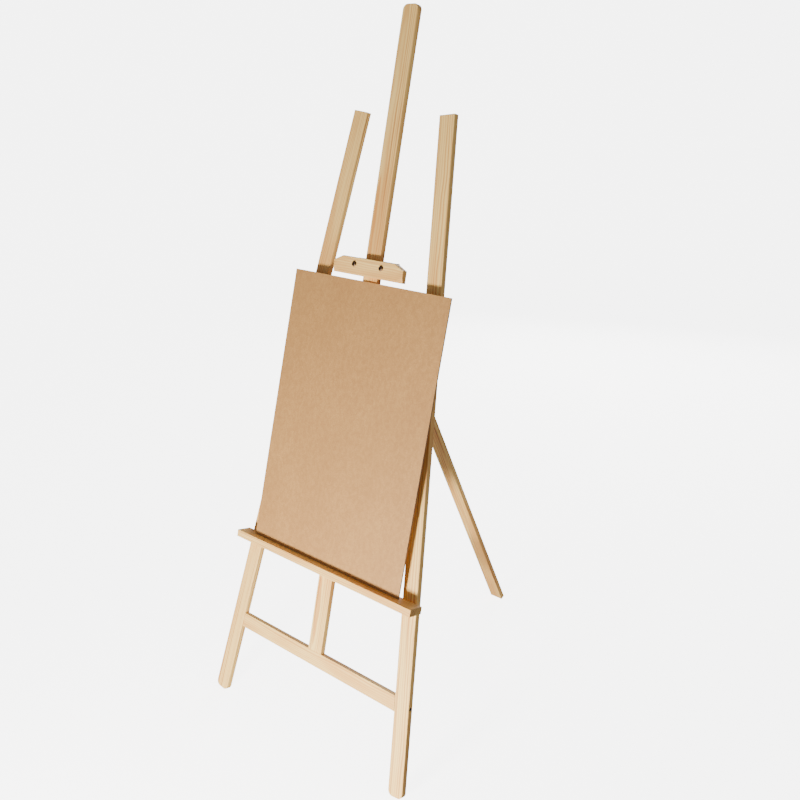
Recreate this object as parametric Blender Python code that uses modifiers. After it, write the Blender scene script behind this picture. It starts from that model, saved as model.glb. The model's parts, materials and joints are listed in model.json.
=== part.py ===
"""A wooden artist easel, standing open with a drawing board on its shelf.

The front frame is built upright in its own axes (x across, y to the back, z up the frame) under one
empty, which leans it back. The mast, the rear leg and the two sliding fittings each have an empty of
their own, so that every moving piece hangs from the axis it moves on.
"""

import math

import bmesh
import bpy
from mathutils import Matrix, Vector

GAP = 0.0003  # between pieces that touch
EDGE = 0.0012  # eased edges of the timber

# front frame
FRAME_LEAN = math.radians(17.1)
LEG_SPLAY = math.radians(6.83)
FOOT_SPACING = 0.642  # between the legs' centre lines at the floor
LEG_LENGTH = 1.580
LEG_WIDTH = 0.043
LEG_THICKNESS = 0.015
FOOT_RADIUS = 0.0135
LOWER_RAIL_HEIGHT = 0.0382
LOWER_RAIL_TOP = 0.2359
UPPER_RAIL_HEIGHT = 0.060
UPPER_RAIL_TOP = 1.165

# mast
MAST_WIDTH = 0.0455
MAST_THICKNESS = 0.015
MAST_LENGTH = 1.570
MAST_RADIUS = 0.0125
MAST_PROUD = 0.002  # in front of the lower rail
MAST_TILT = math.radians(1.04)  # forward of the legs
DOWEL_RADIUS = 0.004
DOWEL_LENGTH = 0.040

# rear leg and its hinge
OPENING = math.radians(41.3)
REAR_LEG_WIDTH = 0.041
REAR_LEG_THICKNESS = 0.015
REAR_LEG_TOP = UPPER_RAIL_TOP - 0.0185  # where its front face meets the back of the rail
KNUCKLE_RADIUS = 0.0029
PIN_RADIUS = 0.0015
RUNNING_FIT = 0.0001
LEAF_WIDTH = 0.038
LEAF_LENGTH = 0.025
LEAF_THICKNESS = 0.0012
LEAF_SCREW_SPACING = 0.022
LEAF_SCREW_DROP = 0.016  # from the pin to the screws

# top clamp
CLAMP_HEIGHT = 0.946  # of its lower edge up the mast
CLAMP_PLATE_HEIGHT = 0.042
CLAMP_PLATE_THICKNESS = 0.015
CLAMP_LENGTH = 0.222
CLAMP_SHOULDER = (0.028, 0.013)  # cut off each upper corner, across and down
CLAMP_CHAMFER = 0.005  # along the front of the lower edge
CLAMP_BACK_LENGTH = 0.120
CLAMP_BOLT_SPACING = 0.086
CLAMP_BOLT_DROP = 0.016  # from the plate's top to the bolts

# shelf
SHELF_HEIGHT = 0.2347  # of its top up the mast
SHELF_LENGTH = 0.603
SHELF_DEPTH = 0.041
SHELF_THICKNESS = 0.0185
SHELF_SHIFT = 0.006  # to the right of the mast
SHELF_BAR_LENGTH = 0.120
SHELF_BAR_HEIGHT = 0.043
SHELF_BAR_THICKNESS = 0.015
STUD_SPACING = 0.078
STUD_GRIP = 0.030  # length inside the shelf

# drawing board
BOARD_WIDTH = 0.500
BOARD_HEIGHT = 0.700
BOARD_THICKNESS = 0.004
BOARD_STAND_OFF = 0.016  # from the mast to the board's foot
BOARD_SHIFT = 0.0015

# fasteners
BOLT_RADIUS = 0.0029
BOLT_HEAD = (0.0065, 0.004)  # radius and height
BOLT_SPARE = 0.004  # thread beyond the nut
HOLE_FIT = 0.0003
WASHER_RADIUS = 0.007
WASHER_THICKNESS = 0.0012
NUT_RADIUS = 0.006
NUT_HEIGHT = 0.008
WING_SPAN = 0.033
WING_RISE = 0.0085
WING_THICKNESS = 0.0024
RAIL_SCREW = (0.0045, 0.0024, 0.075)  # head radius, shank radius and length
MAST_SCREW = (0.0045, 0.0022, 0.026)
LEAF_SCREW = (0.0030, 0.0014, 0.012)
MARGIN = 0.001  # that a cutter runs past a face
ROUND_STEPS = 16
FIT_STEPS = 24  # for round pieces that turn on each other


def clear_scene():
    for old in list(bpy.data.objects):
        bpy.data.objects.remove(old)


def collection(name, hidden=False):
    group = bpy.data.collections.new(name)
    bpy.context.scene.collection.children.link(group)
    group.hide_render = hidden
    return group


def material(name, colour, roughness, metallic=0.0):
    made = bpy.data.materials.new(name)
    made.use_nodes = True
    shader = made.node_tree.nodes["Principled BSDF"]
    shader.inputs["Base Color"].default_value = (*colour, 1.0)
    shader.inputs["Roughness"].default_value = roughness
    shader.inputs["Metallic"].default_value = metallic
    made.diffuse_color = (*colour, 1.0)
    return made


def empty(name, parent=None, location=(0, 0, 0), rotation=(0, 0, 0)):
    axes = bpy.data.objects.new(name, None)
    axes.empty_display_size = 0.05
    axes.parent = parent
    axes.location = location
    axes.rotation_euler = rotation
    PARTS.objects.link(axes)
    return axes


def block(low, high):
    """A rectangular block between two opposite corners."""
    shape = bmesh.new()
    bmesh.ops.create_cube(shape, size=1.0)
    size = Vector(high) - Vector(low)
    middle = (Vector(high) + Vector(low)) / 2
    bmesh.ops.transform(
        shape, matrix=Matrix.Translation(middle) @ Matrix.Diagonal((*size, 1.0)), verts=shape.verts
    )
    return shape


def round_corners(shape, axis, at, radius):
    """Rounds the edges that run front to back where the x (0) or z (2) coordinate equals `at`."""
    corners = [
        edge
        for edge in shape.edges
        if all(abs(vert.co[axis] - at) < 1e-6 for vert in edge.verts)
        and abs(edge.verts[0].co.y - edge.verts[1].co.y) > 1e-6
    ]
    bmesh.ops.bevel(
        shape, geom=corners, offset=radius, segments=6, profile=0.5, affect="EDGES"
    )
    return shape


def slice_off(shape, point, outward):
    """Cuts away what lies beyond a plane and closes the cut."""
    whole = shape.verts[:] + shape.edges[:] + shape.faces[:]
    cut_rim = bmesh.ops.bisect_plane(
        shape, geom=whole, plane_co=point, plane_no=outward, clear_outer=True
    )["geom_cut"]
    rim = [item for item in cut_rim if isinstance(item, bmesh.types.BMEdge)]
    bmesh.ops.holes_fill(shape, edges=rim)
    bmesh.ops.recalc_face_normals(shape, faces=shape.faces)
    return shape


def place(name, mesh, parent, finish, location=(0, 0, 0), rotation=(0, 0, 0)):
    """Adds a piece, or a hidden cutter where finish is None."""
    piece = bpy.data.objects.new(name, mesh)
    piece.parent = parent
    piece.location = location
    piece.rotation_euler = rotation
    if finish is None:
        piece.hide_render = True
        piece.display_type = "WIRE"
        CUTTERS.objects.link(piece)
    else:
        mesh.materials.append(finish)
        PARTS.objects.link(piece)
    return piece


def timber(name, shape, parent, finish, location=(0, 0, 0), rotation=(0, 0, 0), edge=EDGE):
    """A piece of wood with eased edges."""
    mesh = bpy.data.meshes.new(name)
    shape.to_mesh(mesh)
    shape.free()
    piece = place(name, mesh, parent, finish, location, rotation)
    bevel = piece.modifiers.new("eased edges", "BEVEL")
    bevel.width = edge
    bevel.segments = 2
    bevel.limit_method = "ANGLE"
    bevel.angle_limit = math.radians(30)
    return piece


def turned(name, profile, parent, finish, location=(0, 0, 0), outward=(0, 0, 1), steps=ROUND_STEPS):
    """A round piece from a half profile of (radius, height) points that runs down its outer side."""
    closed = profile[0][0] > 0
    count = len(profile)
    mesh = bpy.data.meshes.new(name)
    mesh.from_pydata(
        [(radius, 0.0, height) for radius, height in profile],
        [(i, (i + 1) % count) for i in range(count if closed else count - 1)],
        [],
    )
    rotation = Vector(outward).to_track_quat("Z", "Y").to_euler()
    piece = place(name, mesh, parent, finish, location, rotation)
    spin = piece.modifiers.new("turned", "SCREW")
    spin.steps = steps
    spin.render_steps = steps
    spin.use_merge_vertices = True
    spin.merge_threshold = 0.00001
    return piece


def combine(piece, tool, operation="DIFFERENCE"):
    boolean = piece.modifiers.new(tool.name, "BOOLEAN")
    boolean.operation = operation
    boolean.object = tool


def cross_recess(screw, width, depth, top=0.0):
    """Sinks a cross for a screwdriver into a head whose face is at z = top."""
    arm, slot = width / 2, width / 8
    for number, (across, along) in enumerate(((arm, slot), (slot, arm))):
        mesh = bpy.data.meshes.new(f"{screw.name}_recess_{number + 1}")
        shape = block((-across, -along, top - depth), (across, along, top + MARGIN))
        shape.to_mesh(mesh)
        shape.free()
        combine(screw, place(mesh.name, mesh, screw, None))


def countersunk(size, spare=0.0, above=0.0):
    """Half profile of a countersunk screw. spare widens it into a hole that is open above."""
    head, shank, length = size[0] + spare, size[1] + spare, size[2] + spare
    mouth = [(0, above), (head, above), (head, 0)] if above else [(0, 0), (head, 0)]
    return mouth + [(shank, shank - head), (shank, 2 * shank - length), (0, -length)]


def wood_screw(name, size, parent, location, outward, through):
    """A countersunk screw with its head flush at location, and its hole in each piece it enters."""
    screw = turned(name, countersunk(size), parent, STEEL, location, outward)
    cross_recess(screw, size[0] * 1.1, size[0] * 0.5)
    hole = turned(
        f"{name}_hole", countersunk(size, HOLE_FIT, MARGIN), parent, None, location, outward
    )
    for piece in through:
        combine(piece, hole)
    return screw


def bolt_hole(name, parent, x, z, span, through):
    """A round hole along y over a span, in each piece that a bolt passes through."""
    radius = BOLT_RADIUS + HOLE_FIT
    start, end = span
    profile = [(0, end - start), (radius, end - start), (radius, 0), (0, 0)]
    hole = turned(name, profile, parent, None, (x, start, z), (0, 1, 0))
    for piece in through:
        combine(piece, hole)


def washer_and_wing_nut(name, parent, x, back, z):
    """A washer and a wing nut on a bolt, behind a plate whose back is at y = back."""
    hole = BOLT_RADIUS + HOLE_FIT
    rim, top = WASHER_RADIUS, WASHER_THICKNESS
    ring = [(hole, top), (rim, top), (rim, 0), (hole, 0)]
    turned(f"{name}_washer", ring, parent, STEEL, (x, back + GAP, z), (0, 1, 0))
    seat = back + WASHER_THICKNESS + 2 * GAP
    axis = empty(f"{name}_nut_axis", parent, (x, seat, z), (-math.pi / 2, math.pi / 2, 0))
    bore = BOLT_RADIUS + RUNNING_FIT
    hub = [
        (bore, NUT_HEIGHT),
        (NUT_RADIUS * 0.8, NUT_HEIGHT),
        (NUT_RADIUS, NUT_HEIGHT * 0.2),
        (NUT_RADIUS, 0),
        (bore, 0),
    ]
    nut = turned(f"{name}_wing_nut", hub, axis, STEEL, steps=FIT_STEPS)
    root, tip, half = NUT_RADIUS * 0.65, WING_SPAN / 2, WING_THICKNESS / 2
    for number, turn in enumerate((0, math.pi)):
        shape = block((root, -half, NUT_HEIGHT * 0.1), (tip, half, NUT_HEIGHT * 0.9))
        for vert in shape.verts:
            vert.co.z += WING_RISE if vert.co.x > root + 1e-6 else 0.0
        round_corners(shape, 0, tip, NUT_HEIGHT * 0.35)
        mesh = bpy.data.meshes.new(f"{name}_wing_{number + 1}")
        shape.to_mesh(mesh)
        shape.free()
        combine(nut, place(mesh.name, mesh, axis, None, rotation=(0, 0, turn)), "UNION")


def fastener_depth():
    """From the back of a plate to the end of the bolt that holds it."""
    return 2 * GAP + WASHER_THICKNESS + NUT_HEIGHT + BOLT_SPARE


def foot_drop():
    """How far a leg's rounded end reaches below the middle of that end, once it is splayed."""
    flat = LEG_WIDTH / 2 - FOOT_RADIUS
    return FOOT_RADIUS * (1 - math.cos(LEG_SPLAY)) + flat * math.sin(LEG_SPLAY)


def leg_inside(height):
    """Half the clear width between the legs at a height up the frame."""
    half_width = LEG_WIDTH / 2 / math.cos(LEG_SPLAY)
    return FOOT_SPACING / 2 - height * math.tan(LEG_SPLAY) - half_width


def mast_back(height):
    """The y of the mast's back face at a height up the frame."""
    rise = height - LOWER_RAIL_TOP - GAP
    return MAST_THICKNESS / math.cos(MAST_TILT) - MAST_PROUD - rise * math.tan(MAST_TILT)


def rail(name, top, height, frame, front=None):
    """A rail between the legs, with ends cut to their splay and its back level with theirs.

    front gives the y of its front face at a height, where that isn't level with the legs' front.
    """
    bottom = top - height
    reach = leg_inside(bottom)
    shape = block((-reach, 0, bottom), (reach, LEG_THICKNESS, top))
    for vert in shape.verts:
        vert.co.x = math.copysign(leg_inside(vert.co.z) - GAP, vert.co.x)
        if front and vert.co.y < GAP:
            vert.co.y = front(vert.co.z)
    return timber(name, shape, frame, PINE)


def build_front_frame(frame):
    legs = {}
    for side, sign in (("left", -1), ("right", 1)):
        half = LEG_WIDTH / 2
        shape = block((-half, 0, 0), (half, LEG_THICKNESS, LEG_LENGTH))
        legs[side] = timber(
            f"{side}_leg",
            round_corners(shape, 2, 0, FOOT_RADIUS),
            frame,
            PINE,
            (sign * FOOT_SPACING / 2, 0, foot_drop()),
            (0, -sign * LEG_SPLAY, 0),
        )
    lower = rail("lower_rail", LOWER_RAIL_TOP, LOWER_RAIL_HEIGHT, frame)
    upper = rail(
        "upper_rail", UPPER_RAIL_TOP, UPPER_RAIL_HEIGHT, frame, lambda z: mast_back(z) + GAP
    )
    joints = (
        ("lower_rail_screw", lower, LOWER_RAIL_TOP - LOWER_RAIL_HEIGHT / 2),
        ("upper_rail_low_screw", upper, UPPER_RAIL_TOP - UPPER_RAIL_HEIGHT * 0.75),
        ("upper_rail_high_screw", upper, UPPER_RAIL_TOP - UPPER_RAIL_HEIGHT * 0.25),
    )
    for side, sign in (("left", -1), ("right", 1)):
        for name, joined, height in joints:
            along = (height - foot_drop()) / math.cos(LEG_SPLAY)
            wood_screw(
                f"{name}_{side}",
                RAIL_SCREW,
                legs[side],
                (sign * LEG_WIDTH / 2, LEG_THICKNESS / 2, along),
                (sign, 0, 0),
                (legs[side], joined),
            )
    return lower, upper


def build_mast(mast_axes, lower, upper):
    half = MAST_WIDTH / 2
    shape = block((-half, 0, 0), (half, MAST_THICKNESS, MAST_LENGTH))
    mast = timber("mast", round_corners(shape, 2, MAST_LENGTH, MAST_RADIUS), mast_axes, PINE)
    for level, share in (("low", 0.75), ("high", 0.25)):
        height = UPPER_RAIL_TOP - UPPER_RAIL_HEIGHT * share - LOWER_RAIL_TOP
        wood_screw(
            f"mast_{level}_screw",
            MAST_SCREW,
            mast_axes,
            (0, 0, height / math.cos(MAST_TILT)),
            (0, -1, 0),
            (mast, upper),
        )
    middle = (0, MAST_THICKNESS / 2, 0)
    for name, finish, spare in (("mast_dowel", BEECH, 0.0), ("dowel_hole", None, HOLE_FIT)):
        radius, end = DOWEL_RADIUS + spare, DOWEL_LENGTH / 2 + spare
        dowel = turned(
            name, [(0, end), (radius, end), (radius, -end), (0, -end)], mast_axes, finish, middle
        )
    combine(mast, dowel)
    combine(lower, dowel)


def hinge_leaf(name, parent, face, knuckles):
    """A hinge leaf on the wood at y = face, hanging from a pin along x at the parent's origin.

    face is negative for wood in front of the pin. knuckles are the (start, end) shares of the
    leaf's width that this leaf holds round the pin.
    """
    inner = face - math.copysign(GAP, face)
    outer = inner - math.copysign(LEAF_THICKNESS, face)
    low_y, high_y = sorted((inner, outer))
    half = LEAF_WIDTH / 2
    notch = -(KNUCKLE_RADIUS + GAP)
    mesh = bpy.data.meshes.new(name)
    shape = block((-half, low_y, -LEAF_LENGTH), (half, high_y, notch))
    shape.to_mesh(mesh)
    shape.free()
    leaf = place(name, mesh, parent, STEEL)
    bore = PIN_RADIUS + RUNNING_FIT
    for number, (start, end) in enumerate(knuckles):
        left, right = (share * LEAF_WIDTH - half for share in (start, end))
        left, right = left + GAP / 2, right - GAP / 2
        tab_mesh = bpy.data.meshes.new(f"{name}_tab_{number + 1}")
        shape = block((left, low_y, notch - MARGIN), (right, high_y, -bore))
        shape.to_mesh(tab_mesh)
        shape.free()
        combine(leaf, place(tab_mesh.name, tab_mesh, parent, None), "UNION")
        width = right - left
        roll = [(bore, width), (KNUCKLE_RADIUS, width), (KNUCKLE_RADIUS, 0), (bore, 0)]
        knuckle = turned(
            f"{name}_knuckle_{number + 1}", roll, parent, None, (left, 0, 0), (1, 0, 0), FIT_STEPS
        )
        combine(leaf, knuckle, "UNION")
    return leaf


def leaf_screws(name, parent, face, leaf, wood):
    surface = face - math.copysign(GAP + LEAF_THICKNESS, face)
    for side, sign in (("left", -1), ("right", 1)):
        wood_screw(
            f"{name}_screw_{side}",
            LEAF_SCREW,
            parent,
            (sign * LEAF_SCREW_SPACING / 2, surface, -LEAF_SCREW_DROP),
            (0, -math.copysign(1, face), 0),
            (leaf, wood),
        )


def build_rear_leg(frame, upper):
    """The rear leg opens until its slanted end bears on the back of the upper rail."""
    reach = KNUCKLE_RADIUS + GAP + 0.0001  # of the pin from both pieces of wood
    drop = reach / math.tan(OPENING / 2)
    pin_at = (0, LEG_THICKNESS + reach, REAR_LEG_TOP - drop)
    fixed = empty("hinge_pin_axis", frame, pin_at)
    moving = empty("rear_leg_axis", frame, pin_at, (OPENING, 0, 0))

    tilt = OPENING - FRAME_LEAN
    floor = -(LEG_THICKNESS - EDGE) * math.sin(FRAME_LEAN)
    top = REAR_LEG_TOP * math.cos(FRAME_LEAN) - LEG_THICKNESS * math.sin(FRAME_LEAN)
    length = (top - floor + EDGE * math.sin(tilt)) / math.cos(tilt)
    half = REAR_LEG_WIDTH / 2
    back = reach + REAR_LEG_THICKNESS
    rise = REAR_LEG_THICKNESS / math.tan(OPENING)
    shape = block((-half, reach, drop - length), (half, back, drop + rise))
    rail_side = (0, -math.sin(OPENING), math.cos(OPENING))
    end = Vector((0, reach, drop))
    to_rail = Vector((0, -math.cos(OPENING), math.sin(OPENING)))
    slice_off(shape, end - to_rail * GAP, to_rail)
    leg = timber("rear_leg", shape, moving, PINE)

    fixed_leaf = hinge_leaf("hinge_upper_leaf", fixed, -reach, ((0, 1 / 3), (2 / 3, 1)))
    moving_leaf = hinge_leaf("hinge_lower_leaf", moving, reach, ((1 / 3, 2 / 3),))
    leaf_screws("upper_leaf", fixed, -reach, fixed_leaf, upper)
    leaf_screws("lower_leaf", moving, reach, moving_leaf, leg)
    half = LEAF_WIDTH / 2
    cap = PIN_RADIUS + 0.0007
    pin = [
        (0, half + 0.0012),
        (cap, half + 0.0012),
        (cap, half + GAP),
        (PIN_RADIUS, half + GAP),
        (PIN_RADIUS, -half),
        (0, -half),
    ]
    turned("hinge_pin", pin, fixed, STEEL, outward=(1, 0, 0), steps=FIT_STEPS)


def build_clamp(slide):
    half, height, thickness = CLAMP_LENGTH / 2, CLAMP_PLATE_HEIGHT, CLAMP_PLATE_THICKNESS
    across, down = CLAMP_SHOULDER
    shape = block((-half, -GAP - thickness, 0), (half, -GAP, height))
    for sign in (-1, 1):
        slice_off(shape, (sign * (half - across), 0, height), (sign * down, 0, across))
    slice_off(shape, (0, -GAP - thickness, CLAMP_CHAMFER), (0, -1, -1))
    front_plate = timber("clamp_front_plate", shape, slide, PINE)

    half = CLAMP_BACK_LENGTH / 2
    front = MAST_THICKNESS + GAP
    back = front + thickness
    shape = block((-half, front, 0), (half, back, height))
    back_plate = timber("clamp_back_plate", shape, slide, PINE)
    z = height - CLAMP_BOLT_DROP
    seat = -2 * GAP - thickness
    head, rise = BOLT_HEAD
    dome = [(head * math.sin(a), rise * math.cos(a)) for a in map(math.radians, (0, 30, 55, 78))]
    length = back + fastener_depth() - seat
    bolt = dome + [(head, 0), (BOLT_RADIUS, 0), (BOLT_RADIUS, -length), (0, -length)]
    for side, sign in (("left", -1), ("right", 1)):
        x = sign * CLAMP_BOLT_SPACING / 2
        made = turned(
            f"clamp_{side}_bolt", bolt, slide, BRONZE, (x, seat, z), (0, -1, 0), FIT_STEPS
        )
        cross_recess(made, head * 1.1, rise * 0.6, rise)
        through = (front_plate, back_plate)
        bolt_hole(f"clamp_{side}_hole", slide, x, z, (seat - MARGIN, back + MARGIN), through)
        washer_and_wing_nut(f"clamp_{side}", slide, x, back, z)


def build_shelf(slide):
    half = SHELF_LENGTH / 2
    front_left = (SHELF_SHIFT - half, -GAP - SHELF_DEPTH, -SHELF_THICKNESS)
    shelf = timber("shelf", block(front_left, (SHELF_SHIFT + half, -GAP, 0)), slide, PINE)
    z = -SHELF_THICKNESS / 2
    half = SHELF_BAR_LENGTH / 2
    front = MAST_THICKNESS + GAP
    back = front + SHELF_BAR_THICKNESS
    low, high = z - SHELF_BAR_HEIGHT / 2, z + SHELF_BAR_HEIGHT / 2
    shape = block((-half, front, low), (half, back, high))
    bar = timber("shelf_back_bar", shape, slide, PINE)
    start = -GAP - STUD_GRIP
    length = back + fastener_depth() - start
    stud = [(0, length), (BOLT_RADIUS, length), (BOLT_RADIUS, BOLT_RADIUS), (0, 0)]
    for side, sign in (("left", -1), ("right", 1)):
        x = sign * STUD_SPACING / 2
        turned(f"shelf_{side}_stud", stud, slide, STEEL, (x, start, z), (0, 1, 0), FIT_STEPS)
        bolt_hole(f"shelf_{side}_hole", slide, x, z, (start - HOLE_FIT, back + MARGIN), (shelf, bar))
        washer_and_wing_nut(f"shelf_{side}", slide, x, back, z)


def build_board(slide):
    """The board stands on the shelf and leans back until its top edge meets the mast."""
    lean = math.asin((BOARD_STAND_OFF - GAP) / BOARD_HEIGHT)
    foot = empty("board_foot", slide, (BOARD_SHIFT, -BOARD_STAND_OFF, GAP), (-lean, 0, 0))
    half = BOARD_WIDTH / 2
    shape = block((-half, -BOARD_THICKNESS, 0), (half, 0, BOARD_HEIGHT))
    timber("drawing_board", shape, foot, HARDBOARD, edge=0.0004)


def stand_at_origin(frame):
    """Puts the feet at z = 0 and the middle of the easel's box above the origin."""
    bpy.context.view_layer.update()
    graph = bpy.context.evaluated_depsgraph_get()
    points = []
    for part in PARTS.objects:
        if part.type == "MESH":
            solid = part.evaluated_get(graph)
            points += [solid.matrix_world @ vert.co for vert in solid.data.vertices]
    low, high = (
        Vector([pick(point[axis] for point in points) for axis in range(3)]) for pick in (min, max)
    )
    frame.location -= Vector(((low.x + high.x) / 2, (low.y + high.y) / 2, low.z))


clear_scene()
PARTS = collection("artist_easel")
CUTTERS = collection("cutters", hidden=True)
PINE = material("pine", (0.80, 0.62, 0.42), 0.55)
BEECH = material("beech", (0.72, 0.50, 0.32), 0.55)
HARDBOARD = material("hardboard", (0.62, 0.45, 0.29), 0.6)
STEEL = material("zinc_plated_steel", (0.55, 0.55, 0.56), 0.35, 1.0)
BRONZE = material("bronzed_steel", (0.13, 0.09, 0.06), 0.4, 1.0)

easel_frame = empty("frame_axes", rotation=(-FRAME_LEAN, 0, 0))
lower_rail, upper_rail = build_front_frame(easel_frame)
mast_foot = (0, -MAST_PROUD, LOWER_RAIL_TOP + GAP)
mast_line = empty("mast_axes", easel_frame, mast_foot, (MAST_TILT, 0, 0))
build_mast(mast_line, lower_rail, upper_rail)
build_rear_leg(easel_frame, upper_rail)
build_clamp(empty("clamp_slide", mast_line, (0, 0, CLAMP_HEIGHT)))
shelf_slide = empty("shelf_slide", mast_line, (0, 0, SHELF_HEIGHT))
build_shelf(shelf_slide)
build_board(shelf_slide)
stand_at_origin(easel_frame)
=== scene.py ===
import json
import math

import bmesh
import bpy
import numpy as np
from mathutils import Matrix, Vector


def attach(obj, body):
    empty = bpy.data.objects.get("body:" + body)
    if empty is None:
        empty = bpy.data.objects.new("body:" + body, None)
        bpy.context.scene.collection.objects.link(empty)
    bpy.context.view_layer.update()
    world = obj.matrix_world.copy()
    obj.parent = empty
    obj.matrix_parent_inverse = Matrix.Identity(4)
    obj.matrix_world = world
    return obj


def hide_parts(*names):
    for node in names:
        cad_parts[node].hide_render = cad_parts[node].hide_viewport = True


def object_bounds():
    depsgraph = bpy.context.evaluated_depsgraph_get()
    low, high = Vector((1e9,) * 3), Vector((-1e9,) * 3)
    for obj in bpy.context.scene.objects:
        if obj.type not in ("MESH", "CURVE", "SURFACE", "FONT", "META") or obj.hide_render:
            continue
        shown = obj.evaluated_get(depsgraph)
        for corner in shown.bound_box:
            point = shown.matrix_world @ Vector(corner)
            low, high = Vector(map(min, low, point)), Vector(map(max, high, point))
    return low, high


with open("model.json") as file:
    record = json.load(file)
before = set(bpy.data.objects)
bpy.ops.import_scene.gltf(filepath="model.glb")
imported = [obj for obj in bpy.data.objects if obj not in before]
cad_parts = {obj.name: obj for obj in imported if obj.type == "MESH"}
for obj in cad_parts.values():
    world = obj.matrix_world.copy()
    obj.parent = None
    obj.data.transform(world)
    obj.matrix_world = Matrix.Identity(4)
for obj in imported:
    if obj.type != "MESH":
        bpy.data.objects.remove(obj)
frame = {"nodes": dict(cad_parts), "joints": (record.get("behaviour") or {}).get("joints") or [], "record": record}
cadLow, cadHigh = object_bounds()
print("frame loaded:", len(frame["nodes"]), "solids")

bodyOf = {
    node: body for body, nodes in frame["record"]["behaviour"]["bodies"].items() for node in nodes
}


def cornersOf(node):
    # every triangle of a solid, as three corners each
    mesh = frame["nodes"][node].data
    points = np.empty(len(mesh.vertices) * 3)
    mesh.vertices.foreach_get("co", points)
    mesh.calc_loop_triangles()
    index = np.empty(len(mesh.loop_triangles) * 3, int)
    mesh.loop_triangles.foreach_get("vertices", index)
    return points.reshape(-1, 3)[index].reshape(-1, 3, 3)


def facesOf(node):
    # corners, unit normal and area of every triangle: half the cross product of two of its sides
    corners = cornersOf(node)
    cross = np.cross(corners[:, 1] - corners[:, 0], corners[:, 2] - corners[:, 0])
    double = np.linalg.norm(cross, axis=1)
    keep = double > 1e-10
    return corners[keep], cross[keep] / double[keep, None], double[keep] / 2


def widest(normals, areas):
    # the direction that the largest area of faces looks along
    share = (np.abs(normals @ normals.T) > 0.9999) @ areas
    return normals[np.argmax(share)]


def barAxes(node):
    # rows: across the grain, through the thickness, along the grain
    normals, areas = facesOf(node)[1:]
    through = widest(normals, areas)
    level = np.abs(normals @ through) < 0.02
    across = widest(normals[level], areas[level])
    across = across - through * (across @ through)
    across /= np.linalg.norm(across)
    along = np.cross(across, through)
    # through looks to the back and the others to the right and up, whichever they are nearest
    if through[1] + 0.2 * through[2] < 0:
        through = -through
    along = along * np.sign(along @ np.array((1.0, 0.1, 0.9)))
    return np.array((np.cross(through, along), through, along))


def slantsOf(node, axes):
    # flat faces that are square to neither the outline nor the thickness, as (normal, offset)
    corners, normals = (found @ axes.T for found in facesOf(node)[:2])
    offsets = np.einsum("ij,ij->i", normals, corners[:, 0])
    tilted = (np.abs(normals[:, 1]) > 0.01) & (np.abs(normals[:, 1]) < 0.99995)
    found = {}
    for normal, offset in zip(normals[tilted], offsets[tilted]):
        found.setdefault(tuple(np.round([*normal, offset], 3)), (normal, offset))
    kept = []
    for normal, offset in found.values():
        same = (normals @ normal > 0.99999) & (np.abs(offsets - offset) < 5e-5)
        flat = corners[same].reshape(-1, 3)
        spread = np.linalg.svd(flat - flat.mean(0), full_matrices=False)[2][:2] @ flat.T
        outermost = (corners.reshape(-1, 3) @ normal).max() < offset + 5e-5
        if np.ptp(spread, axis=1).min() > 0.003 and outermost:
            kept.append((normal, offset))
    return kept


def spindle(node, axis=None, thin=False):
    # the axis of a round solid, with how far each corner is along it and away from it
    points = np.unique(np.round(cornersOf(node).reshape(-1, 3), 6), axis=0)
    centre = points.mean(0)
    if axis is None:
        axis = np.linalg.svd(points - centre, full_matrices=False)[2][-1 if thin else 0]
    axis = np.array(axis, float)
    along = (points - centre) @ axis
    away = np.linalg.norm(points - centre - along[:, None] * axis, axis=1)
    if along[away > 0.9 * away.max()].mean() < (along.min() + along.max()) / 2:
        axis, along = -axis, -along
    return {
        "centre": centre,
        "axis": axis,
        "low": along.min(),
        "high": along.max(),
        "along": along,
        "away": away,
    }


def newPiece(node, points, faces, finish, sharp=35):
    # a piece in place of a solid, shaded smooth except where faces meet at more than sharp degrees
    name = node + "_finished"
    mesh = bpy.data.meshes.new(name)
    mesh.from_pydata(points.tolist(), [], faces)
    shape = bmesh.new()
    shape.from_mesh(mesh)
    bmesh.ops.remove_doubles(shape, verts=shape.verts, dist=2e-6)
    bmesh.ops.recalc_face_normals(shape, faces=shape.faces)
    shape.to_mesh(mesh)
    shape.free()
    piece = bpy.data.objects.new(name, mesh)
    bpy.context.scene.collection.objects.link(piece)
    mesh.materials.append(finish)
    smooth(mesh, sharp)
    return piece


def smooth(mesh, sharp):
    mesh.polygons.foreach_set("use_smooth", np.ones(len(mesh.polygons), bool))
    mesh.set_sharp_from_angle(angle=math.radians(sharp))


def gridFaces(rows, columns, closed=True):
    # quads between neighbouring rows; closed joins the last column to the first
    row = np.arange(rows - 1)[:, None] * columns
    column = np.arange(columns if closed else columns - 1)[None, :]
    after = (column + 1) % columns
    quads = np.stack((row + column, row + after, row + columns + after, row + columns + column), -1)
    return quads.reshape(-1, 4).tolist()


def standFor(piece, node):
    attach(piece, bodyOf[node])
    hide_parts(node)
    return piece


def ripple(where, seed, size):
    # a smooth wander between 0 and size: three sines of unrelated lengths
    phase = np.random.default_rng(seed).uniform(0, 2 * math.pi, 3)
    waves = sum(np.sin(where * turns + start) for turns, start in zip((9.0, 23.0, 51.0), phase))
    return size * (0.5 + waves / 6)


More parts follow.
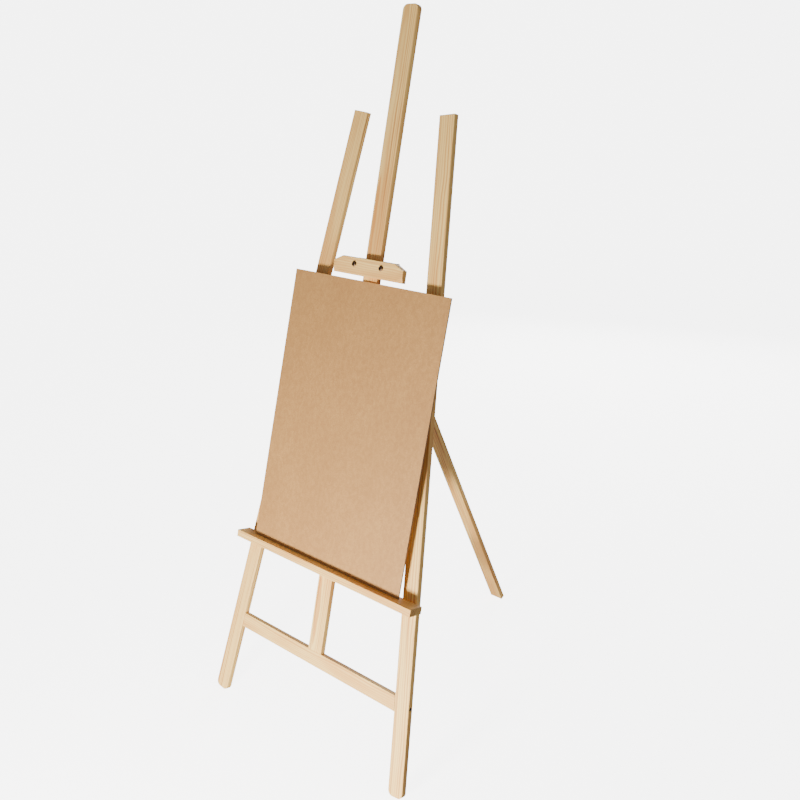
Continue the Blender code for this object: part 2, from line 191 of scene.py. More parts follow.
class Socket:
    # an output of a node; sums on it add Math nodes
    def __init__(self, shader, link):
        self.shader = shader
        self.link = link

    def math(self, operation, *values):
        return self.shader.node("ShaderNodeMath", {"operation": operation}, dict(enumerate(values)))

    def __add__(self, other):
        return self.math("ADD", self, other)

    def __sub__(self, other):
        return self.math("SUBTRACT", self, other)

    def __rsub__(self, other):
        return self.math("SUBTRACT", other, self)

    def __mul__(self, other):
        return self.math("MULTIPLY", self, other)

    def __truediv__(self, other):
        return self.math("DIVIDE", self, other)

    def __pow__(self, other):
        return self.math("POWER", self, other)

    __radd__ = __add__
    __rmul__ = __mul__


class Shader:
    def __init__(self, name):
        self.material = bpy.data.materials.new(name)
        self.material.use_nodes = True
        self.tree = self.material.node_tree
        self.tree.nodes.clear()

    def node(self, kind, settings=None, inputs=None, output=0):
        made = self.tree.nodes.new(kind)
        for key, value in (settings or {}).items():
            setattr(made, key, value)
        for key, value in (inputs or {}).items():
            if isinstance(value, Socket):
                self.tree.links.new(value.link, made.inputs[key])
            else:
                made.inputs[key].default_value = value
        return None if output is None else Socket(self, made.outputs[output])

    def split(self, vector):
        # the three parts of a vector
        parts = self.node("ShaderNodeSeparateXYZ", inputs={0: vector})
        outputs = parts.link.node.outputs
        return [Socket(self, outputs[i]) for i in range(3)]

    def stretch(self, vector, sizes):
        # the vector counted in units of these sizes
        scale = tuple(1 / size for size in sizes)
        return self.node("ShaderNodeVectorMath", {"operation": "MULTIPLY"}, {0: vector, 1: scale})

    def placeIn(self, axes, middle):
        # where a point lies along a bar's own axes, from the bar's middle: dot(axis, point) - middle
        point = self.node("ShaderNodeTexCoord", output=3)
        parts = {}
        for index, (axis, centre) in enumerate(zip(axes, middle)):
            inputs = {0: point, 1: tuple(axis)}
            dot = self.node("ShaderNodeVectorMath", {"operation": "DOT_PRODUCT"}, inputs, output=1)
            parts[index] = dot - float(centre)
        return self.node("ShaderNodeCombineXYZ", inputs=parts)

    def noise(self, vector, sizes, detail=2.0, rough=0.5, shift=0.0):
        # about 0 to 1, with lumps of the given sizes in metres
        placed = self.stretch(vector, sizes)
        if shift:
            settings = {"operation": "ADD"}
            placed = self.node("ShaderNodeVectorMath", settings, {0: placed, 1: (shift,) * 3})
        inputs = {"Vector": placed, "Scale": 1.0, "Detail": detail, "Roughness": rough}
        return self.node("ShaderNodeTexNoise", {"noise_dimensions": "3D"}, inputs)

    def step(self, value, low, high, start=0.0, end=1.0):
        # from start to end as the value goes from low to high, smoothly
        inputs = {0: value, 1: low, 2: high, 3: start, 4: end}
        return self.node("ShaderNodeMapRange", {"interpolation_type": "SMOOTHSTEP"}, inputs)

    def mix(self, share, first, second, blend="MIX"):
        inputs = {0: share, 6: first, 7: second}
        settings = {"data_type": "RGBA", "blend_type": blend}
        return self.node("ShaderNodeMix", settings, inputs, output=2)

    def finish(self, settings, height, strength, depth):
        # the surface itself, with height as its bump
        bump = self.node(
            "ShaderNodeBump", inputs={"Height": height, "Strength": strength, "Distance": depth}
        )
        surface = self.node("ShaderNodeBsdfPrincipled", inputs={**settings, "Normal": bump})
        self.node("ShaderNodeOutputMaterial", inputs={"Surface": surface}, output=None)
        return self.material


def paint(red, green, blue):
    # a colour as the eye numbers it, 0 to 255, in the shader's own units
    return (*(((part / 255 + 0.055) / 1.055) ** 2.4 for part in (red, green, blue)), 1.0)


pine = {
    "early": paint(247, 206, 122),
    "late": paint(200, 122, 48),
    "resin": paint(160, 84, 30),
    "ringSpacing": 0.0042,
    "contrast": 0.85,
    "streaks": 0.35,
    "roughness": 0.52,
}


def pineFinish(name, look, pith, seed, axes, middle):
    # growth rings are shells round the pith, so a colour comes from the distance to that line
    settings = {**pine, **look}
    shader = Shader(name)
    place = shader.placeIn(axes, middle)
    endGrain = shader.node("ShaderNodeAttribute", {"attribute_name": "endGrain"}, output=2)
    edge = shader.node("ShaderNodeAttribute", {"attribute_name": "edge"}, output=2)
    shifted = shader.node(
        "ShaderNodeVectorMath", {"operation": "ADD"}, {0: place, 1: (*pith, seed * 7.3)}
    )
    wander = shader.noise(shifted, (0.09, 0.09, 0.55), 3.0, 0.55)
    flutter = shader.noise(shifted, (0.012, 0.012, 0.16), 2.0)
    across, through, along = shader.split(shifted)
    radius = (across * across + through * through) ** 0.5
    rings = (radius + wander * 0.024 + flutter * 0.0022) / settings["ringSpacing"]
    turn = rings.math("FRACT", rings)
    late = shader.step(turn, 0.25, 0.86) * shader.step(turn, 0.9, 1.0, 1.0, 0.0)
    yearly = shader.noise(shader.node("ShaderNodeCombineXYZ", inputs={0: rings}), (2.7, 1, 1), 1.0)
    late = late * shader.step(yearly, 0.3, 0.7, 0.35, 1.0)
    fibre = shader.noise(shifted, (0.0011, 0.0011, 0.06), 3.0, 0.6)
    threads = shader.noise(shifted, (0.00035, 0.00035, 0.02), 2.0, 0.6)
    broad = shader.noise(shifted, (0.05, 0.05, 0.32), 2.0, 0.5, 3.0)
    streak = shader.noise(shifted, (0.007, 0.007, 0.42), 2.0, 0.55, 11.0)
    streak = shader.step(streak, 0.56, 0.74) * settings["streaks"]
    flecks = shader.noise(shifted, (0.0005, 0.0005, 0.006), 1.0, 0.5, 5.0)
    flecks = shader.step(flecks, 0.66, 0.74) * 0.35

    colour = shader.mix(late * settings["contrast"], settings["early"], settings["late"])
    colour = shader.mix(shader.step(broad, 0.38, 0.66) * 0.5, colour, settings["late"])
    colour = shader.mix(streak, colour, settings["resin"])
    colour = shader.mix(flecks, colour, settings["resin"])
    shade = 0.90 + fibre * 0.12 + threads * 0.08
    shade = shade * (1 - endGrain * 0.30) * (1 - edge * 0.06)
    grey = shader.node("ShaderNodeCombineXYZ", inputs={0: shade, 1: shade, 2: shade})
    colour = shader.mix(1.0, colour, grey, "MULTIPLY")
    height = late * 0.35 + fibre * 0.5 + threads * 0.4 - flecks * 0.8
    roughness = settings["roughness"] + (fibre - 0.5) * 0.16 + endGrain * 0.2 - late * 0.07
    surface = {"Base Color": colour, "Roughness": roughness, "IOR": 1.45}
    return shader.finish(surface, height, 0.32, 0.00035)


def squareCorners(corners, short=0.0012, most=0.003):
    # a corner eased over a few short sides becomes the point where the long sides would cross
    sides = np.roll(corners, -1, axis=0) - corners
    lengths = np.linalg.norm(sides, axis=1)
    count = len(corners)
    squared = []
    longs = np.flatnonzero(lengths >= short)
    for first, second in zip(longs, np.append(longs[1:], longs[0] + count)):
        between = np.arange(first + 1, second) % count
        second = second % count
        if 0 < len(between) and lengths[between].sum() < most:
            (x, y), (u, v) = sides[first], sides[second]
            gap = corners[second] - corners[first]
            squared.append(corners[first] + sides[first] * (gap[0] * v - gap[1] * u) / (x * v - y * u))
        else:
            squared += list(corners[np.append(between, second)])
    return np.array(squared)


def outlineOf(flat, step):
    # the outermost corners as seen square on, then points every step along the sides between them
    turns = np.linspace(0, 2 * math.pi, 1440, endpoint=False)
    furthest = np.argmax(flat @ np.array((np.cos(turns), np.sin(turns))), axis=0)
    corners = flat[furthest[np.flatnonzero(np.diff(furthest, prepend=furthest[-1]))]]
    lengths = np.linalg.norm(np.roll(corners, -1, axis=0) - corners, axis=1)
    corners = squareCorners(corners[lengths > 1e-5])
    sides = np.roll(corners, -1, axis=0) - corners
    lengths = np.linalg.norm(sides, axis=1)
    counts = np.maximum(1, np.round(lengths / step)).astype(int)
    which = np.repeat(np.arange(len(corners)), counts)
    share = (np.arange(len(which)) - np.repeat(np.cumsum(counts) - counts, counts)) / counts[which]
    return corners[which] + sides[which] * share[:, None]


def softOver(distance, softness):
    # how far past a plane, eased so that the edge it leaves is round
    return (distance + np.sqrt(distance**2 + softness**2)) / 2


def bar(node, finish, seed, edge=0.0013, step=0.012, uneven=0.00012, fasteners=()):
    # The outline, front to back: at each depth the outline drawn inwards by a rounded edge's inset,
    # so that a point is outline(u) - inward(u) * inset(v), at depth(v), with flat front and back.
    axes = barAxes(node)
    points = cornersOf(node).reshape(-1, 3) @ axes.T
    outline = outlineOf(points[:, (0, 2)], step)
    ahead, behind = np.roll(outline, -1, axis=0), np.roll(outline, 1, axis=0)
    tangent = (ahead - behind) / np.linalg.norm(ahead - behind, axis=1)[:, None]
    outward = np.stack((tangent[:, 1], -tangent[:, 0]), -1)
    front, back = points[:, 1].min(), points[:, 1].max()
    bend = np.linspace(0, math.pi / 2, 6)
    lip = [1.7]  # where the flat ends begin, in widths of the rounded edge
    inset = np.concatenate((lip, 1 - np.sin(bend), np.zeros(7), (1 - np.sin(bend))[::-1], lip))
    depth = np.concatenate(([0.0], 1 - np.cos(bend), np.ones(7), -(1 - np.cos(bend))[::-1], [0.0]))
    middle = np.linspace(edge, back - front - edge, 9)[1:-1]
    depth = depth * edge
    depth[7:14] = middle
    depth[14:] += back - front
    worn = 0.75 + ripple(outline.sum(1), seed, 0.5)
    drawn = inset[:, None] * edge * worn + ripple(outline[:, 1], seed + 1, uneven)
    flat = outline[None] - outward[None] * drawn[:, :, None]
    deep = np.broadcast_to((front + depth)[:, None], drawn.shape)
    local = np.stack((flat[..., 0], deep, flat[..., 1]), -1).reshape(-1, 3)
    for normal, offset in slantsOf(node, axes):
        way = int(np.argmax(np.abs(normal)))
        over = softOver(local @ normal - offset, edge * 0.5)
        local[:, way] -= over / normal[way]
    rows, columns = drawn.shape
    faces = gridFaces(rows, columns)
    faces.append(list(range(columns)))
    faces.append(list(range((rows - 1) * columns, rows * columns)))
    piece = newPiece(node, local @ axes, faces, finish)
    caps = np.arange(len(piece.data.polygons)) >= len(piece.data.polygons) - 2
    piece.data.attributes.new("cap", "BOOLEAN", "FACE").data.foreach_set("value", caps)
    if fasteners:
        cutHoles(piece, fasteners)
        smooth(piece.data, 35)
    fillCaps(piece.data)
    markGrain(piece.data, axes, points.min(0), points.max(0), edge)
    return standFor(piece, node)


def fillCaps(mesh):
    # the flat front and back, cut into well-shaped triangles that stay flat
    shape = bmesh.new()
    shape.from_mesh(mesh)
    caps = [face for face in shape.faces if face[shape.faces.layers.bool["cap"]]]
    for face in bmesh.ops.triangulate(shape, faces=caps, ngon_method="BEAUTY")["faces"]:
        face.smooth = False
    shape.to_mesh(mesh)
    shape.free()
    mesh.attributes.remove(mesh.attributes["cap"])


def cutHoles(piece, fasteners):
    # takes each fastener's own shape, a hair larger, out of the wood
    cutters = [holeFor(fastener) for fastener in fasteners]
    points = np.concatenate([cutter[0] for cutter in cutters])
    faces, start = [], 0
    for corners, quads in cutters:
        faces += [[start + i for i in face] for face in quads]
        start += len(corners)
    cutter = newPiece(piece.name + "_holes", points, faces, piece.data.materials[0])
    boolean = piece.modifiers.new("holes", "BOOLEAN")
    boolean.operation = "DIFFERENCE"
    boolean.solver = "EXACT"
    boolean.object = cutter
    graph = bpy.context.evaluated_depsgraph_get()
    cut = bpy.data.meshes.new_from_object(piece.evaluated_get(graph))
    piece.modifiers.clear()
    piece.data = cut
    bpy.data.objects.remove(cutter)


def holeFor(fastener, room=0.0002, steps=40):
    # the fastener's outline spun round its axis, open above its head
    shape = spindle(fastener)
    along, away = shape["along"], shape["away"]
    head = away.max()
    shank = away[along < shape["low"] + 0.35 * (shape["high"] - shape["low"])].max()
    profile = [(0, shape["low"] - room), (shank, shape["low"] - room)]
    if head > 1.3 * shank and "bolt" not in fastener:
        profile += [(shank, shape["high"] - (head - shank)), (head, shape["high"])]
        profile += [(head, shape["high"] + 0.002), (0, shape["high"] + 0.002)]
    else:
        profile += [(shank, shape["high"]), (0, shape["high"])]
    radius, height = np.array(profile).T
    radius = radius + np.where(radius > 0, room, 0)
    return spin(shape, radius, height, steps)


def spin(shape, radius, height, steps):
    # radius and height, each down the profile or on the whole grid, turned round the axis
    axis = Vector(shape["axis"])
    side = np.array(axis.orthogonal().normalized())
    other = np.cross(shape["axis"], side)
    turn = np.linspace(0, 2 * math.pi, steps, endpoint=False)
    ring = np.cos(turn)[:, None] * side + np.sin(turn)[:, None] * other
    radius = np.broadcast_to(radius.reshape(len(radius), -1), (len(radius), steps))
    height = np.broadcast_to(height.reshape(len(height), -1), (len(height), steps))
    points = shape["centre"] + radius[..., None] * ring + height[..., None] * shape["axis"]
    return points.reshape(-1, 3), gridFaces(len(radius), steps)


def markGrain(mesh, axes, low, high, edge):
    # how near each point is to an edge, and how far each face is end grain
    count = len(mesh.vertices)
    points = np.empty(count * 3)
    mesh.vertices.foreach_get("co", points)
    local = points.reshape(-1, 3) @ axes.T
    gap = np.minimum(local - low, high - local)[:, :2]
    near = np.clip(1 - gap.max(1) / (3 * edge), 0, 1)
    mesh.attributes.new("edge", "FLOAT", "POINT").data.foreach_set("value", near.astype(np.float32))
    normals = np.empty(len(mesh.polygons) * 3)
    mesh.polygons.foreach_get("normal", normals)
    facing = np.abs(normals.reshape(-1, 3) @ axes[2])
    ends = np.clip(facing * 1.5 - 0.4, 0, 1).astype(np.float32)
    mesh.attributes.new("endGrain", "FLOAT", "FACE").data.foreach_set("value", ends)


timber = {
    "left_leg": {"look": {"streaks": 0.6}, "pith": (0.05, 0.035), "seed": 1},
    "right_leg": {"look": {"streaks": 0.5}, "pith": (-0.04, 0.045), "seed": 2},
    "mast": {"look": {"streaks": 0.6}, "pith": (0.012, 0.03), "seed": 3},
    "lower_rail": {"look": {"contrast": 0.6}, "pith": (0.03, 0.03), "seed": 4},
    "upper_rail": {"look": {}, "pith": (0.04, 0.05), "seed": 5},
    "rear_leg": {"look": {"streaks": 0.9}, "pith": (0.02, 0.03), "seed": 6},
    "clamp_front_plate": {"look": {"contrast": 0.6}, "pith": (0.02, 0.03), "seed": 7},
    "clamp_back_plate": {"look": {}, "pith": (0.03, 0.02), "seed": 8},
    "shelf": {"look": {"streaks": 0.6}, "pith": (0.03, 0.02), "seed": 9},
    "shelf_back_bar": {"look": {}, "pith": (0.01, 0.04), "seed": 10},
}


def fastenersIn(node):
    # screws, bolts, studs and the dowel whose axis passes through a piece of wood
    axes = barAxes(node)
    points = cornersOf(node).reshape(-1, 3) @ axes.T
    low, high = points.min(0) - 1e-4, points.max(0) + 1e-4
    found = []
    for name in sorted(frame["nodes"]):
        if any(word in name for word in ("screw", "bolt", "stud", "dowel")):
            shape = spindle(name)
            reach = np.linspace(shape["low"], shape["high"], 60)[:, None]
            line = (shape["centre"] + reach * shape["axis"]) @ axes.T
            if ((line > low) & (line < high)).all(1).any():
                found.append(name)
    return found


def middleOf(node, axes):
    # the middle of a solid's box, measured along these axes
    points = cornersOf(node).reshape(-1, 3) @ axes.T
    return (points.min(0) + points.max(0)) / 2


for node, facts in timber.items():
    axes = barAxes(node)
    middle = middleOf(node, axes)
    finish = pineFinish(f"pine_{node}", facts["look"], facts["pith"], facts["seed"], axes, middle)
    bar(node, finish, 20 * facts["seed"], fasteners=fastenersIn(node))
print("timber:", len(timber), "bars")


board = {
    "colour": paint(182, 132, 72),
    "dark": paint(142, 96, 50),
    "light": paint(200, 154, 92),
    "edge": paint(120, 98, 78),
    "meshPitch": 0.0021,  # of the screen that its back was pressed on
}


def hardboardFinish(name, axes, middle):
    # pressed fibre: fine speckle in front, the print of a wire screen behind, dark sawn edges
    shader = Shader(name)
    place = shader.placeIn(axes, middle)
    across, through, along = shader.split(place)
    cloud = shader.noise(place, (0.12, 0.12, 0.16), 3.0, 0.6)
    mottle = shader.noise(place, (0.009, 0.009, 0.013), 3.0, 0.7, 17.0)
    speckle = shader.noise(place, (0.0016, 0.0016, 0.0016), 3.0, 0.7)
    fibre = shader.noise(place, (0.0007, 0.0007, 0.0045), 2.0, 0.6, 4.0)
    fleck = shader.step(shader.noise(place, (0.0028, 0.0028, 0.004), 2.0, 0.6, 9.0), 0.62, 0.72)
    colour = shader.mix(shader.step(speckle, 0.3, 0.7), board["dark"], board["light"])
    colour = shader.mix(0.55, colour, board["colour"])
    colour = shader.mix(shader.step(cloud, 0.3, 0.7) * 0.18, colour, board["dark"])
    colour = shader.mix(shader.step(mottle, 0.35, 0.65) * 0.3, colour, board["dark"])
    colour = shader.mix(fleck * 0.22, colour, board["dark"])
    edge = shader.node("ShaderNodeAttribute", {"attribute_name": "edge"}, output=2)
    colour = shader.mix(edge * 0.75, colour, board["edge"])
    turns = 2 * math.pi / board["meshPitch"]
    wires = place.math("SINE", across * turns) * place.math("SINE", along * turns)
    behind = shader.step(through, 0.0, 0.001)
    height = speckle * 0.35 + fibre * 0.35 + wires * behind * 0.9
    roughness = 0.56 + (speckle - 0.5) * 0.12 + behind * 0.15
    surface = {"Base Color": colour, "Roughness": roughness, "IOR": 1.45}
    return shader.finish(surface, height, 0.25, 0.0002)


def drawingBoard():
    axes = barAxes("drawing_board")
    finish = hardboardFinish("hardboard", axes, middleOf("drawing_board", axes))
    piece = bar("drawing_board", finish, 400, edge=0.0004, step=0.02, uneven=0.00004)
    mesh = piece.data
    normals = np.empty(len(mesh.polygons) * 3)
    mesh.polygons.foreach_get("normal", normals)
    side = (np.abs(normals.reshape(-1, 3) @ axes[1]) < 0.6).astype(np.float32)
    mesh.attributes.remove(mesh.attributes["edge"])
    mesh.attributes.new("edge", "FLOAT", "FACE").data.foreach_set("value", side)


drawingBoard()
print("drawing board")


metal = {
    "zinc": {"bright": paint(205, 205, 200), "dull": paint(150, 150, 146), "roughness": 0.34},
    "bronze": {"bright": paint(120, 96, 74), "dull": paint(52, 41, 33), "roughness": 0.42},
}


def metalFinish(name, look):
    # plating: cloudy tarnish, fine scratches and a slightly uneven skin
    shader = Shader(name)
    place = shader.node("ShaderNodeTexCoord", output=3)
    cloud = shader.noise(place, (0.004, 0.004, 0.004), 3.0, 0.6)
    grain = shader.noise(place, (0.0004, 0.0004, 0.0004), 2.0, 0.5, 7.0)
    scratch = shader.noise(place, (0.0002, 0.004, 0.0012), 1.0, 0.5, 2.0)
    scratch = shader.step(scratch, 0.62, 0.7)
    tarnish = shader.step(cloud, 0.3, 0.7) * 0.7 + grain * 0.2
    colour = shader.mix(tarnish, look["bright"], look["dull"])
    colour = shader.mix(scratch * 0.35, colour, look["bright"])
    roughness = look["roughness"] + (cloud - 0.5) * 0.2 + grain * 0.08 - scratch * 0.08
    surface = {"Base Color": colour, "Roughness": roughness, "Metallic": 1.0}
    return shader.finish(surface, cloud * 0.5 + grain * 0.3 - scratch * 0.4, 0.2, 0.0001)


zinc = metalFinish("zinc_plate", metal["zinc"])
bronze = metalFinish("bronzed_steel", metal["bronze"])

screwShape = {"recess": 0.62, "arm": 0.13, "pitch": 0.0016, "threadDepth": 0.16}


def crossRecess(radius, turn, reach, arm, deep):
    # how far a cross sinks below the head: deep inside either slot, sloping up to its ends
    x, y = radius * np.cos(turn), radius * np.sin(turn)
    slots = []
    for along, aside in ((x, y), (y, x)):
        wide = np.clip((arm * 1.15 - np.abs(aside)) / (arm * 0.3), 0, 1)
        slots.append(wide * np.clip((reach - np.abs(along)) / (reach * 0.45), 0, 1))
    return deep * np.maximum(*slots)


def headRows(head, rise, count=30):
    # radii and dome heights from the middle of a head to its rim, an arc of an ellipse
    radius = head * np.sin(np.linspace(0, math.pi / 2, count))
    return radius, rise * np.sqrt(np.clip(1 - (radius / head) ** 2, 0, 1))


def screwPiece(node, finish, steps=64):
    # one spun surface: a crossed head, its cone, then a shank whose radius swells on a helix
    shape = spindle(node)
    along, away = shape["along"], shape["away"]
    head, length = away.max(), shape["high"] - shape["low"]
    shank = away[along < shape["low"] + 0.35 * length].max()
    turn = np.linspace(0, 2 * math.pi, steps, endpoint=False)[None]
    domed = "bolt" in node
    rise = shape["high"] - along[away > 0.97 * head].mean() if domed else 0.0004
    radius, dome = headRows(head, rise)
    top = shape["high"] - rise
    reach, arm = head * screwShape["recess"], head * screwShape["arm"]
    sunk = crossRecess(radius[:, None], turn, reach, arm, head * 0.45)
    skin = top + dome[:, None] - sunk
    if not domed:
        skin = skin - 0.0003
    neck = top if domed else top - (head - shank) - 0.0003
    start = shape["low"] + length * 0.02
    worm = np.linspace(neck - 0.0002, start, int(12 * (neck - start) / screwShape["pitch"]))
    wave = np.abs((worm[:, None] / screwShape["pitch"] + turn / (2 * math.pi)) % 1 - 0.5) * 2
    fade = np.clip((neck - worm) / (0.25 * length), 0, 1)[:, None]
    taper = 1.0 if domed else np.clip((worm - shape["low"]) / (0.1 * length), 0, 1)[:, None] ** 0.7
    thread = shank * (1 - screwShape["threadDepth"] * wave * fade) * taper
    radii = np.concatenate((np.broadcast_to(radius[:, None], sunk.shape), thread, np.zeros((1, steps))))
    tip = shape["low"] if not domed else start
    heights = np.concatenate(
        (skin, np.broadcast_to(worm[:, None], thread.shape), np.full((1, steps), tip))
    )
    points, faces = spin(shape, radii, heights, steps)
    return standFor(newPiece(node, points, faces, finish, 40), node)


def studPiece(node, steps=48):
    # a threaded rod: rounded ends, and a radius that swells on a helix
    shape = spindle(node)
    radius = shape["away"].max()
    height = np.linspace(shape["low"], shape["high"], 480)
    turn = np.linspace(0, 2 * math.pi, steps, endpoint=False)[None]
    wave = np.abs((height[:, None] / 0.0008 + turn / (2 * math.pi)) % 1 - 0.5) * 2
    ends = np.minimum(height - shape["low"], shape["high"] - height) / radius
    ends = np.sqrt(np.clip(1 - (1 - np.clip(ends * 1.6, 0, 1)) ** 2, 0, 1))[:, None]
    points, faces = spin(shape, radius * ends * (1 - 0.1 * wave), height, steps)
    return standFor(newPiece(node, points, faces, zinc, 50), node)


def washerPiece(node, steps=64):
    # a flat ring whose section is a rounded rectangle
    shape = spindle(node, thin=True)
    inner, outer = shape["away"].min(), shape["away"].max()
    half, ease = (shape["high"] - shape["low"]) / 2, 0.00025
    bend = np.linspace(0, 2 * math.pi, 32, endpoint=False) + 0.1
    wide = (outer - inner) / 2
    x, y = (np.sign(wave) * np.abs(wave) ** 0.35 for wave in (np.cos(bend), np.sin(bend)))
    radius = (inner + outer) / 2 + (wide - ease) * x + ease * np.cos(bend)
    height = (shape["low"] + shape["high"]) / 2 + half * y
    radius, height = np.append(radius, radius[0]), np.append(height, height[0])
    points, faces = spin(shape, radius, height, steps)
    return standFor(newPiece(node, points, faces, zinc, 50), node)


wingNut = {"hubHeight": 0.008, "hubRadius": 0.006, "wingHeight": 0.0032, "wingThickness": 0.0024}


def wingNutPiece(node, joint):
    # a tapered hub, and two wings that are flat rounded tubes on a line rising away from it
    shape = spindle(node, joint["axis"])
    points = np.unique(np.round(cornersOf(node).reshape(-1, 3), 6), axis=0)
    axis, centre = shape["axis"], shape["centre"]
    seat = shape["low"]
    bore, span = shape["away"].min(), shape["away"].max()
    far = points[np.argmax(shape["away"])] - centre
    wing = far - (far @ axis) * axis
    wing /= np.linalg.norm(wing)
    aside = np.cross(axis, wing)
    tall, wide = wingNut["hubHeight"], wingNut["hubRadius"]
    profile = np.array((
        (bore, tall * 0.99), (bore * 1.12, tall), (wide * 0.72, tall), (wide * 0.8, tall * 0.94),
        (wide * 0.86, tall * 0.7), (wide * 0.97, tall * 0.22), (wide, tall * 0.12), (wide, tall * 0.04),
        (wide * 0.96, 0), (bore * 1.1, 0), (bore, tall * 0.03), (bore, tall * 0.99),
    ))
    hub, faces = spin(shape, profile[:, 0], profile[:, 1] + seat, 48)
    parts, start = [hub], len(hub)
    share = np.linspace(0, 1, 26)
    bend = np.linspace(0, 2 * math.pi, 24, endpoint=False)
    swell = np.clip(1 - (2 * share - 1) ** 8, 0, 1) ** 0.5
    root, tip = wide * 0.6, span
    rise = shape["high"] - seat - tall * 0.5 - wingNut["wingHeight"]
    out = root + (tip - root) * share
    lift = seat + tall * 0.5 + rise * share**1.15
    high = wingNut["wingHeight"] * (0.92 + 0.18 * share) * swell
    thick = wingNut["wingThickness"] / 2 * (1.15 - 0.35 * share) * swell
    for side in (1, -1):
        section = (
            out[:, None, None] * side * wing
            + (lift[:, None] + high[:, None] * np.sin(bend))[..., None] * axis
            + (thick[:, None] * np.cos(bend))[..., None] * aside
        )
        parts.append((centre + section).reshape(-1, 3))
        faces += [[start + i for i in face] for face in gridFaces(len(share), len(bend))]
        start += section.shape[0] * section.shape[1]
    piece = newPiece(node, np.concatenate(parts), faces, zinc, 40)
    return standFor(piece, node)


joints = {joint["child"]: joint for joint in frame["joints"]}
for node in sorted(frame["nodes"]):
    if "screw" in node:
        dark = node.startswith(("lower_rail", "upper_rail"))
        screwPiece(node, bronze if dark else zinc)
    elif node.endswith("_bolt"):
        screwPiece(node, bronze)
    elif node.endswith("_stud"):
        studPiece(node)
    elif node.endswith("_washer"):
        washerPiece(node)
    elif node.endswith("_wing_nut"):
        wingNutPiece(node, joints[bodyOf[node]])
    elif node.startswith("hinge"):
        solid = frame["nodes"][node]
        solid.data.materials.clear()
        solid.data.materials.append(zinc)
print("screws, bolts, washers, wing nuts and hinge")


def dowelPiece(node):
    # a fluted peg: a rounded rod with shallow grooves along it
    shape = spindle(node)
    radius = shape["away"].max()
    height = np.linspace(shape["low"], shape["high"], 60)
    turn = np.linspace(0, 2 * math.pi, 64, endpoint=False)[None]
    ends = np.minimum(height - shape["low"], shape["high"] - height) / (radius * 0.4)
    ends = 0.8 + 0.2 * np.sqrt(np.clip(1 - (1 - np.clip(ends, 0, 1)) ** 2, 0, 1))
    ends[[0, -1]] = 0
    fluted = radius * (1 - 0.03 * (0.5 + 0.5 * np.cos(12 * turn)))
    points, faces = spin(shape, ends[:, None] * fluted, height, 64)
    beech = {"early": paint(214, 172, 130), "late": paint(190, 142, 98), "streaks": 0.1}
    side = np.array(Vector(shape["axis"]).orthogonal().normalized())
    axes = np.array((side, np.cross(shape["axis"], side), shape["axis"]))
    local = points @ axes.T
    finish = pineFinish("beech", beech, (0.02, 0.02), 11, axes, (local.min(0) + local.max(0)) / 2)
    piece = newPiece(node, points, faces, finish, 50)
    markGrain(piece.data, axes, local.min(0), local.max(0), 0.0005)
    return standFor(piece, node)


dowelPiece("mast_dowel")


view = {"place": (1.5283, -1.6977, 1.6816), "turn": (68.845, 1.767, 41.451), "lens": 42.932}


def setCamera():
    data = bpy.data.cameras.new("camera")
    data.lens = view["lens"]
    data.sensor_width = 36
    camera = bpy.data.objects.new("camera", data)
    camera.location = view["place"]
    camera.rotation_euler = tuple(math.radians(angle) for angle in view["turn"])
    bpy.context.scene.collection.objects.link(camera)
    bpy.context.scene.camera = camera


studio = {
    "floor": paint(250, 249, 247),
    "floorGlow": 5.5,
    "flatRadius": 4.0,
    "wallRadius": 10.0,
    "wallHeight": 6.0,
    "skyAbove": 0.3,
    "skyBelow": 0.5,
    "keyPlace": (0.3, -2.0, 0.22),
    "keyAim": (0.0, -0.2, 0.45),
    "keySize": 0.35,
    "keyPower": 104.0,
    "fillPlace": (-1.0, 3.0, 1.6),  # behind, so that the back isn't dark
    "fillAim": (0.0, 0.0, 0.9),
    "fillSize": 2.0,
    "fillPower": 75.0,
}


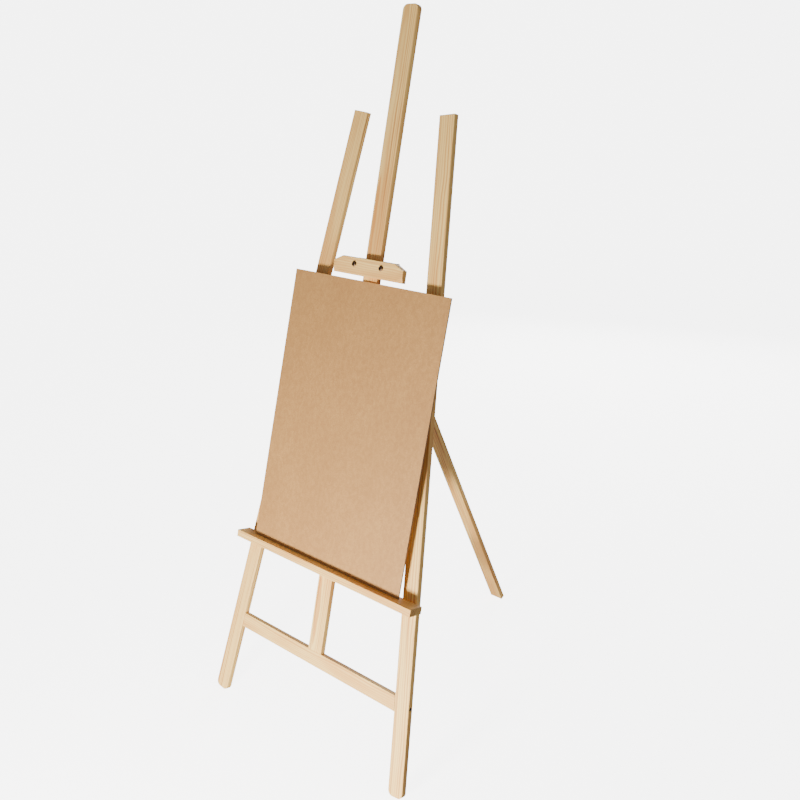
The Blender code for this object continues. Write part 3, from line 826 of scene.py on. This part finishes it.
def setFloor():
    # a plain pale sheet: flat out to one radius, then rising on a smooth step to a wall all round
    radius = np.concatenate(([0.0], np.geomspace(0.3, studio["wallRadius"], 60)))
    flat, far = studio["flatRadius"], studio["wallRadius"]
    share = np.clip((radius - flat) / (far - flat), 0, 1)
    height = cadLow[2] - 0.0005 + studio["wallHeight"] * share**2 * (3 - 2 * share)
    turn = np.linspace(0, 2 * math.pi, 96, endpoint=False)
    x, y = radius[:, None] * np.cos(turn), radius[:, None] * np.sin(turn)
    points = np.stack((x, y, np.broadcast_to(height[:, None], x.shape)), -1).reshape(-1, 3)
    mesh = bpy.data.meshes.new("floor")
    mesh.from_pydata(points.tolist(), [], gridFaces(len(radius), len(turn)))
    shader = Shader("floor")
    place = shader.node("ShaderNodeTexCoord", output=3)
    cloud = shader.noise(place, (0.5, 0.5, 0.5), 3.0)
    surface = {
        "Base Color": studio["floor"],
        "Roughness": 0.7 + (cloud - 0.5) * 0.1,
        "Specular IOR Level": 0.0,
        "Emission Color": (1.0, 1.0, 1.0, 1.0),
        "Emission Strength": studio["floorGlow"],
    }
    mesh.materials.append(shader.finish(surface, cloud, 0.02, 0.0005))
    smooth(mesh, 40)
    floor = bpy.data.objects.new("floor", mesh)
    floor.visible_diffuse = False  # its glow whitens it and lights nothing else
    floor.visible_glossy = False
    bpy.context.scene.collection.objects.link(floor)


def setLights():
    world = bpy.data.worlds.new("studio")
    bpy.context.scene.world = world
    world.use_nodes = True
    # the light comes up off a pale floor, so it is weaker from above than from below
    nodes, links = world.node_tree.nodes, world.node_tree.links
    direction = nodes.new("ShaderNodeTexCoord")
    parts = nodes.new("ShaderNodeSeparateXYZ")
    rise = nodes.new("ShaderNodeMapRange")
    for index, value in enumerate((-0.5, 0.6, studio["skyBelow"], studio["skyAbove"])):
        rise.inputs[index + 1].default_value = value
    links.new(direction.outputs["Generated"], parts.inputs[0])
    links.new(parts.outputs[2], rise.inputs[0])
    links.new(rise.outputs[0], nodes["Background"].inputs["Strength"])
    nodes["Background"].inputs["Color"].default_value = (1.0, 1.0, 1.0, 1.0)
    for name in ("key", "fill"):
        data = bpy.data.lights.new(name, "AREA")
        data.energy = studio[name + "Power"]
        data.size = studio[name + "Size"]
        lamp = bpy.data.objects.new(name, data)
        lamp.location = studio[name + "Place"]
        aim = Vector(studio[name + "Aim"]) - lamp.location
        lamp.rotation_euler = aim.to_track_quat("-Z", "Y").to_euler()
        bpy.context.scene.collection.objects.link(lamp)


setCamera()
setFloor()
setLights()
print("camera, floor and lights")
